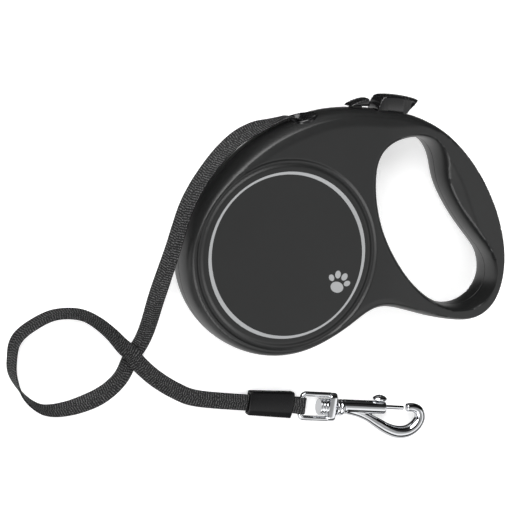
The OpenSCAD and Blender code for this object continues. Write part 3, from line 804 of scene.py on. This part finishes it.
def half_shell(name, panel):
    """One half of the housing as a closed solid from the parting plane up."""
    verts, faces = [], []

    def add(points):
        verts.extend(points)
        return list(range(len(verts) - len(points), len(verts)))

    def strip(a, b, flip):
        n = len(a)
        for i in range(n):
            j = (i + 1) % n
            faces.append((a[i], a[j], b[j], b[i]) if not flip else (a[j], a[i], b[i], b[j]))

    seams = []
    for curve, sign in ((rim, 1), (hole, -1)):
        flat = moved_in(curve, 0.16 * sign)
        rows = [add([(x, y, MID) for x, y in flat]), add([(x, y, MID + 0.22) for x, y in curve[:, :2]])]
        for a in LOW_ANGLES:
            ring = moved_in(curve, sign * share(a) * curve[:, 2])
            z = np.full(len(ring), height(a))
            if a == LOW_ANGLES[-1]:
                z = face_height(ring)
            rows.append(add([(x, y, h) for (x, y), h in zip(ring, z)]))
        for p, q in zip(rows, rows[1:]):
            strip(p, q, sign < 0)
        seams.append((flat, rows[0], ring, rows[-1]))

    around = 2 * np.pi * np.arange(AROUND) / AROUND
    unit_ring = np.stack([np.cos(around), np.sin(around)], 1)
    circle_xy = unit_ring * RING_FROM

    # points of the open face: contour rings of both edges and a plain grid
    free = []
    for curve, other, sign in ((rim, hole, 1), (hole, rim, -1)):
        fold = fold_share(curve, curve[:, 2])[0]
        for part in [share(a) for a in HIGH_ANGLES] + [fold - 0.02, fold + 0.02, fold + 0.1]:
            ring = moved_in(curve, sign * part * curve[:, 2])
            own, far = edge_rise(ring, curve), edge_rise(ring, other)
            true_place = abs(nearest(ring, curve)[0] - part * curve[:, 2]) < 0.2
            free.append(ring[(far >= own - 0.02) & true_place])
    for x0, x1, pitch, clear in ((-54, 78, 2.4, 4.5), (78, 126, 1.1, 2.0)):
        gx, gy = np.meshgrid(np.arange(x0, x1, pitch), np.arange(-54, 74, pitch))
        gx = gx + (np.arange(gx.shape[0]) % 2)[:, None] * pitch / 2
        grid = np.stack([gx.ravel(), gy.ravel()], 1)
        free.append(grid[np.minimum(nearest(grid, rim)[0], nearest(grid, hole)[0]) > clear])
    free = np.concatenate(free)
    keep = inside(free, seams[0][2]) & ~inside(free, seams[1][2])
    keep &= np.hypot(free[:, 0], free[:, 1]) > RING_FROM + 0.5
    free = free[keep]
    for seam in seams:
        border = np.c_[seam[2], seam[2][:, 0]]
        free = free[nearest(free, border)[0] > 0.3]
    # of points closer than about a third of a millimetre, only the first stays
    chosen, cells = [], {}
    for p in free:
        key = (int(p[0] // 0.5), int(p[1] // 0.5))
        near = [q for i in (-1, 0, 1) for j in (-1, 0, 1) for q in cells.get((key[0] + i, key[1] + j), [])]
        if all((p[0] - q[0]) ** 2 + (p[1] - q[1]) ** 2 > 0.12 for q in near):
            cells.setdefault(key, []).append(p)
            chosen.append(p)
    free = np.array(chosen)

    ring_ids = add([(x, y, z) for (x, y), z in zip(circle_xy, face_height(circle_xy))])
    free_ids = add([(x, y, z) for (x, y), z in zip(free, face_height(free))])
    flat_xy = np.concatenate([seams[0][2], seams[1][2], circle_xy, free])
    ids = seams[0][3] + seams[1][3] + ring_ids + free_ids
    loops, start = [], 0
    for n in (len(rim), len(hole), len(circle_xy)):
        loops += [(start + i, start + (i + 1) % n) for i in range(n)]
        start += n
    out = geometry.delaunay_2d_cdt([Vector(p) for p in flat_xy], loops, [], 0, 1e-7)
    origin = [ids[o[0]] if o else None for o in out[3]]
    centre = np.array([np.mean([out[0][k][:2] for k in f], axis=0) for f in out[2]])
    good = inside(centre, seams[0][2]) & ~inside(centre, seams[1][2]) & ~inside(centre, circle_xy)
    faces += [tuple(origin[k] for k in f) for f, g in zip(out[2], good) if g]

    # the parting plane
    flat_xy = np.concatenate([seams[0][0], seams[1][0]])
    ids = seams[0][1] + seams[1][1]
    out = geometry.delaunay_2d_cdt([Vector(p) for p in flat_xy], loops[:len(rim) + len(hole)], [], 0, 1e-7)
    origin = [ids[o[0]] for o in out[3]]
    centre = np.array([np.mean([out[0][k][:2] for k in f], axis=0) for f in out[2]])
    good = inside(centre, seams[0][0]) & ~inside(centre, seams[1][0])
    faces += [tuple(origin[k] for k in f)[::-1] for f, g in zip(out[2], good) if g]

    last = ring_ids
    for r, depth in face_rings(panel)[1:]:
        if r == 0:
            tip = add([(0, 0, TOP - depth)])[0]
            faces += [(last[i], last[(i + 1) % AROUND], tip) for i in range(AROUND)]
            break
        xy = unit_ring * r
        ring = add([(x, y, min(z, TOP - depth)) for (x, y), z in zip(xy, face_height(xy))])
        strip(last, ring, False)
        last = ring
    return mesh_piece(name, verts, faces, True, 36)


# the tape guide's place on the rim, and the way it faces
GUIDE_TURN = math.radians(13.6)
GUIDE = np.array([12.3, 64.9, 14])
GUIDE_OUT = np.array([-math.sin(GUIDE_TURN), math.cos(GUIDE_TURN), 0])
GUIDE_SIDE = np.array([math.cos(GUIDE_TURN), math.sin(GUIDE_TURN), 0])


def guide_ring(s, r, half=4.0):
    """Stadium of radius r at a distance s out of the guide's seat."""
    return [GUIDE + GUIDE_OUT * s + GUIDE_SIDE * a + ZED * b for a, b in stadium_outline(r, half, 80)]


def box_cutter(x0, x1, y0, y1, z0, z1):
    return prism([(x0, y0), (x1, y0), (x1, y1), (x0, y1)], z0, z1)


# screw places, and the outlines of the rooms for the brake and inside the grip
SCREWS = [(-9.2, 48.9), (50, -21), (43.2, 43), (77.3, 56.8), (112.2, -31.2)]
POCKET = [(-2, 40), (2, 56.5), (13, 61), (30, 63), (46, 62.3), (56.5, 61.2), (70, 58.6), (70, 57.2),
          (56.5, 57.2), (56.5, 51.5), (50, 49.5), (40, 47), (38, 20), (20, 30)]
GRIP_ROOM = [(97, 40), (104, 30), (110.5, 15), (113.5, 3), (111.5, 3), (105, 13), (99, 23), (95, 35)]


def hollows():
    """What is cut out of both halves, as closed cutters in the front half's place."""
    room_profile = [(12.9, 0), (12.9, 43), (25.4, 43), (25.4, 7), (24, 7), (24, 0)]
    room = lathe("cutter", room_profile, (0, 0, 0), ZED, 160)
    return [room, prism(POCKET, 12.8, 25.0), prism(GRIP_ROOM, 12.7, 20)]


def shared():
    """What is cut out across both halves: the guide's seat, the keys' openings and the axle's bore."""
    low = loft("cutter", [guide_ring(s, 5.66) for s in (-8.3, -1.1)])
    wide = loft("cutter", [guide_ring(s, 7.06) for s in (-1.2, 4)])
    button_way = box_cutter(49.2, 71.3, 57.2, 77, 7.1, 20.9)
    lock_way = box_cutter(38.6, 46.9, 60.8, 72, 11, 17)
    axle_bore = lathe("cutter", [(1.4, 0), (1.4, 4), (26.6, 4), (26.6, 0)], (0, 0, 0), ZED, 48)
    return [wide, low, button_way, lock_way, axle_bore]


def flip(ob):
    """Mirror through the parting plane."""
    for v in ob.data.vertices:
        v.co.z = 2 * MID * MM - v.co.z
    tidy(ob, True, 36)
    return ob


front = half_shell("shell_front", 0.3)
cut(front, hollows() + shared())
cut(front, [prism(circle(1.25, 24, x, y), 12.6, 21) for x, y in SCREWS])
cut(front, [prism(circle(1.5, 32, 8, 52), 13, 26.4)])
back = half_shell("shell_back", 0.0)
cut(back, hollows())
flip(back)
cut(back, shared())
well_profile = [(-1, 0), (-1, 3.1), (0.25, 2.75), (0.55, 2.5), (4.6, 2.5), (4.6, 1.25), (15, 1.25), (15, 0)]
well = bevelled(well_profile, 0.12)
for x, y in SCREWS:
    cut(back, [lathe("cutter", well, (x, y, 0), ZED, 40)])
for ob, node in ((front, "front_shell"), (back, "back_shell")):
    tidy(ob, True, 36)
    dress(ob, HOUSING)
    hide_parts(node)
    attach(ob, "housing")

# ---------------------------------------------------------------- guide, button and lock
# the guide's skin as (distance out, radius, half-length of the straight part): outside, lip, throat
guide_rows = [
    (-6.8, 5.4, 4), (-6.6, 5.6, 4), (-1.3, 5.6, 4), (-1.2, 5.7, 4), (-1.2, 6.85, 4), (-1.1, 7, 4),
    (0.15, 7, 4), (0.45, 6.93, 4), (0.7, 6.72, 4), (0.86, 6.4, 4), (0.9, 6.1, 4), (0.84, 5.8, 4),
    (0.66, 5.5, 4), (0.3, 5.2, 4), (-0.3, 4.75, 3.9), (-1, 4.2, 3.75), (-1.8, 3.5, 3.55),
    (-2.6, 2.75, 3.35), (-3.4, 2.1, 3.15), (-4.1, 1.75, 3.0), (-5.2, 1.68, 3.0), (-6.7, 1.68, 3.0),
    (-6.8, 1.8, 3.0),
]
guide = loft("tape_guide_lip", [guide_ring(s, r, half) for s, r, half in guide_rows], around=True)
dress(guide, GLOSS)
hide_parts("tape_guide")
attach(guide, "housing")


def crowned(name, stations, top, floor, half, crown, corner):
    """A moulded key as cross-sections along X.

    top and floor are heights in Y, half is its half-width, crown how much its middle stands
    higher than its sides, and corner its top radius.
    """
    n = 15
    rings = []
    for x in stations:
        t, f, w = top(x), floor(x), half(x)
        r = max(min(corner, (t - f) * 0.6, w * 0.9), 0.02)
        pts = []
        for k in range(n):
            a = math.pi / 2 * k / (n - 1)
            pts.append((w - r + r * math.cos(a), t - crown - r + r * math.sin(a)))
        for k in range(1, 8):
            z = (w - r) * (1 - k / 8)
            pts.append((z, t - crown * (z / (w - r)) ** 2))
        pts.append((0, t))
        row = pts + [(-z, y) for z, y in pts[-2::-1]]
        e = min(0.35, (t - f) * 0.3)
        row += [(-w, f + e), (-w + e, f), (w - e, f), (w, f + e)]
        rings.append([(x, y, MID + z) for z, y in row])
    return loft(name, rings, sharp=50)


def line_at(points):
    """A function of x that runs straight from point to point."""
    xs, ys = zip(*points)
    return lambda x: float(np.interp(x, xs, ys))


button_top = line_at([
    (51, 69), (51.3, 70.2), (52.2, 72.2), (53.0, 73.7), (53.8, 74.7), (54.6, 75.2), (55.5, 75.4), (58, 75.4),
    (61, 75.15), (64, 74.75), (67, 74.2), (70, 73.5), (72.4, 72.85), (73.8, 72.4), (74.3, 72.15),
])
button_floor = line_at([
    (51, 60.5), (56, 60.5), (56.05, 62.6), (64.6, 62.6), (68.4, 67.3), (74, 71.5), (74.3, 71.8),
])
button_half = line_at([
    (51, 6.1), (51.2, 6.35), (51.7, 6.5), (65, 6.5), (69, 6.35), (71.2, 5.9), (72.8, 5.1), (73.8, 4.0),
    (74.3, 2.6),
])


def rib(x, start, end, depth, pitch):
    """Depth of a row of rounded cross grooves between two places."""
    if not start < x < end:
        return 0.0
    return depth * max(0.0, math.sin((x - start) * 2 * math.pi / pitch))


def ribbed_top(x):
    """The button's top with grooves at its rear and its nose."""
    return button_top(x) - rib(x, 65.2, 72.3, 0.30, 1.75) - rib(x, 51.6, 55.4, 0.28, 1.5)


button = crowned("brake_key", np.linspace(51, 74.3, 180), ribbed_top, button_floor, button_half, 0.5, 1.3)
dress(button, GLOSS)
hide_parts("brake_button")
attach(button, "brake_button")

LOCK_FROM, LOCK_TO = 37.4, 47.3
lock_top = line_at([
    (LOCK_FROM, 70.6), (37.7, 71), (38.2, 71.35), (39.5, 72), (41, 72.6), (44, 73.5), (46.4, 73.93),
    (46.9, 73.9), (LOCK_TO, 73.5),
])
lock_half = line_at([
    (LOCK_FROM, 3.9), (37.8, 4.5), (38.4, 4.75), (39, 4.8), (46.4, 4.8), (46.9, 4.7), (LOCK_TO, 4.4),
])


def lock_ribbed(x):
    """The lock's top with cross grooves for the thumb."""
    return lock_top(x) - rib(x, 39.8, 45.2, 0.2, 2 * math.pi / 4.2)


def lock_floor(x):
    """The lock's underside, which follows the housing's edge."""
    return 70.3 - 0.03 * (x - LOCK_FROM)


lock = crowned("lock_key", np.linspace(LOCK_FROM, LOCK_TO, 70), lock_ribbed, lock_floor, lock_half, 0.25, 0.8)
stem = [box_cutter(39, 44, 61.6, 70.6, 11.5, 16.5), box_cutter(37.6, 45.6, 60.9, 61.9, 10, 18)]
cut(lock, stem, "UNION")
tidy(lock, True, 50)
dress(lock, GLOSS)
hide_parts("lock_slider")
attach(lock, "lock_slider")

# ---------------------------------------------------------------- printed ring and paw print
PRINT_Z0, PRINT_Z1 = 27.6, 27.75
RING_OUTER, RING_INNER, RING_SWELL = 41.1, 39.6, 0.5


def spot(cx, cy, a, b, turn):
    """Printed ellipse, as a very thin raised disc."""
    n = 40
    c, s = math.cos(math.radians(turn)), math.sin(math.radians(turn))
    outline = []
    for k in range(n):
        t = 2 * math.pi * k / n
        x, y = a * math.cos(t), b * math.sin(t)
        outline.append((cx + x * c - y * s, cy + x * s + y * c))
    return prism(outline, PRINT_Z0, PRINT_Z1, "spot")


rows = []
# the line swells twice around the panel, like a pen stroke, by its inner edge alone
for r, swell, z in [(RING_INNER, RING_SWELL, PRINT_Z0), (RING_INNER, RING_SWELL, PRINT_Z1),
                    (RING_OUTER, 0, PRINT_Z1), (RING_OUTER, 0, PRINT_Z0)]:
    ring = []
    for k in range(220):
        t = 2 * math.pi * k / 220
        wavy = r - swell * math.cos(2 * (t - math.radians(35)))
        ring.append((wavy * math.cos(t), wavy * math.sin(t), z))
    rows.append(ring)
band = loft("band", rows, around=True)
PAW = (26.0, -17.5)
toes = [spot(PAW[0], PAW[1], 3.5, 2.7, -20)]
for turn, dist, size in [(120, 5.7, 1.35), (85, 6.3, 1.5), (50, 6.3, 1.5), (15, 5.6, 1.35)]:
    a = math.radians(turn)
    toes.append(spot(PAW[0] + dist * math.cos(a), PAW[1] + dist * math.sin(a), size * 1.3, size, turn))
mark = join("printed_ring_and_paw", [band] + toes)
tidy(mark, False)
dress(mark, SILVER)
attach(mark, "housing")

# ---------------------------------------------------------------- finish on the parts inside and the screws
INNER_PARTS = {
    "housing_screws": STEEL, "axle": STEEL, "reel_drum": REEL, "ratchet_rim": REEL, "hub_cover": COVER,
    "hub_cover_screws": STEEL, "mainspring": SPRING, "wound_tape": WEB, "lead_tape": WEB,
    "button_spring": SPRING, "brake_pawl": PAWL, "pawl_pin": STEEL, "bolt_spring": SPRING,
}
for node, material in INNER_PARTS.items():
    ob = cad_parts[node]
    for s in range(max(1, len(ob.material_slots))):
        if not ob.material_slots:
            ob.data.materials.append(material)
        ob.material_slots[s].material = material

# ---------------------------------------------------------------- floor and light
FAR = 4000
corners = [(-FAR, -FAR, 0), (FAR, -FAR, 0), (FAR, FAR, 0), (-FAR, FAR, 0)]
floor = mesh_piece("floor", corners, [(0, 1, 2, 3)])
paper = Paint("white_paper")
cloudy = paper.ramp(paper.noise(paper.coords(), 3, 2), [(0.3, 0.93), (0.7, 0.95)])
# lit a little from within, as a light table is
dress(floor, paper.set(Base__Color=cloudy, Roughness=0.9, Emission__Color=(1, 1, 1), Emission__Strength=0.4))
# the chrome mirrors the studio's own tones below the horizon, not the paper
floor.visible_glossy = False


def lamp(name, power, size, place, aim):
    """Rectangular area light of a power in watts, facing a point."""
    data = bpy.data.lights.new(name, "AREA")
    data.energy = power
    data.shape, data.size, data.size_y = "RECTANGLE", size[0], size[1]
    ob = bpy.data.objects.new(name, data)
    ob.location = place
    ob.rotation_euler = (Vector(place) - Vector(aim)).to_track_quat("Z", "Y").to_euler()
    scene.collection.objects.link(ob)
    return ob


lamp("key", 24, (1.5, 1.0), (-0.5, 1.0, 1.1), (0, 0, 0))
lamp("fill", 14, (1.6, 1.2), (-0.9, -1.0, 1.0), (0, 0, 0))
right = lamp("right", 11, (0.8, 1.4), (1.2, 0.5, 0.7), (0, 0, 0.02))
# it lights the matt surfaces only, so that the chrome keeps its black areas
right.visible_glossy = False

lamp("edge", 7, (1.2, 0.5), (-0.6, 1.35, 0.42), (0, 0, 0.01))

# a tent that is pale at the front and dark at the back, with a dark belt, which chrome shows as black
world = bpy.data.worlds.new("studio")
scene.world = world
world.use_nodes = True
tree = world.node_tree
sky = tree.nodes["Background"]
ray = tree.nodes.new("ShaderNodeTexCoord")
split = tree.nodes.new("ShaderNodeSeparateXYZ")
tree.links.new(ray.outputs["Generated"], split.inputs[0])


def shade_by(axis, stops):
    """Grey tones along one axis of the view of the room, as stops of (place from -1 to 1, grey)."""
    half = tree.nodes.new("ShaderNodeMath")
    half.operation = "MULTIPLY_ADD"
    half.inputs[1].default_value, half.inputs[2].default_value = 0.5, 0.5
    tree.links.new(split.outputs[axis], half.inputs[0])
    grade = tree.nodes.new("ShaderNodeValToRGB")
    tree.links.new(half.outputs[0], grade.inputs["Fac"])
    while len(grade.color_ramp.elements) < len(stops):
        grade.color_ramp.elements.new(0.5)
    for e, (at, grey) in zip(grade.color_ramp.elements, stops):
        e.position = at / 2 + 0.5
        e.color = (grey, grey, grey, 1)
    return grade.outputs["Color"]


upright = shade_by(2, [(-1, 0.75), (-0.3, 0.9), (0.0, 0.6), (0.10, 0.02), (0.50, 0.02), (0.62, 1.4),
                       (0.80, 1.2), (0.90, 0.44), (1.0, 0.36)])
to_back = shade_by(1, [(-1, 1.0), (0.02, 1.0), (0.22, 0.03), (0.8, 0.02), (0.95, 0.5)])
both = tree.nodes.new("ShaderNodeMix")
both.data_type, both.blend_type = "RGBA", "MULTIPLY"
both.inputs[0].default_value = 1.0
tree.links.new(upright, both.inputs[6])
tree.links.new(to_back, both.inputs[7])
tree.links.new(both.outputs[2], sky.inputs["Color"])
sky.inputs["Strength"].default_value = 1.0
scene.view_settings.view_transform = "Standard"
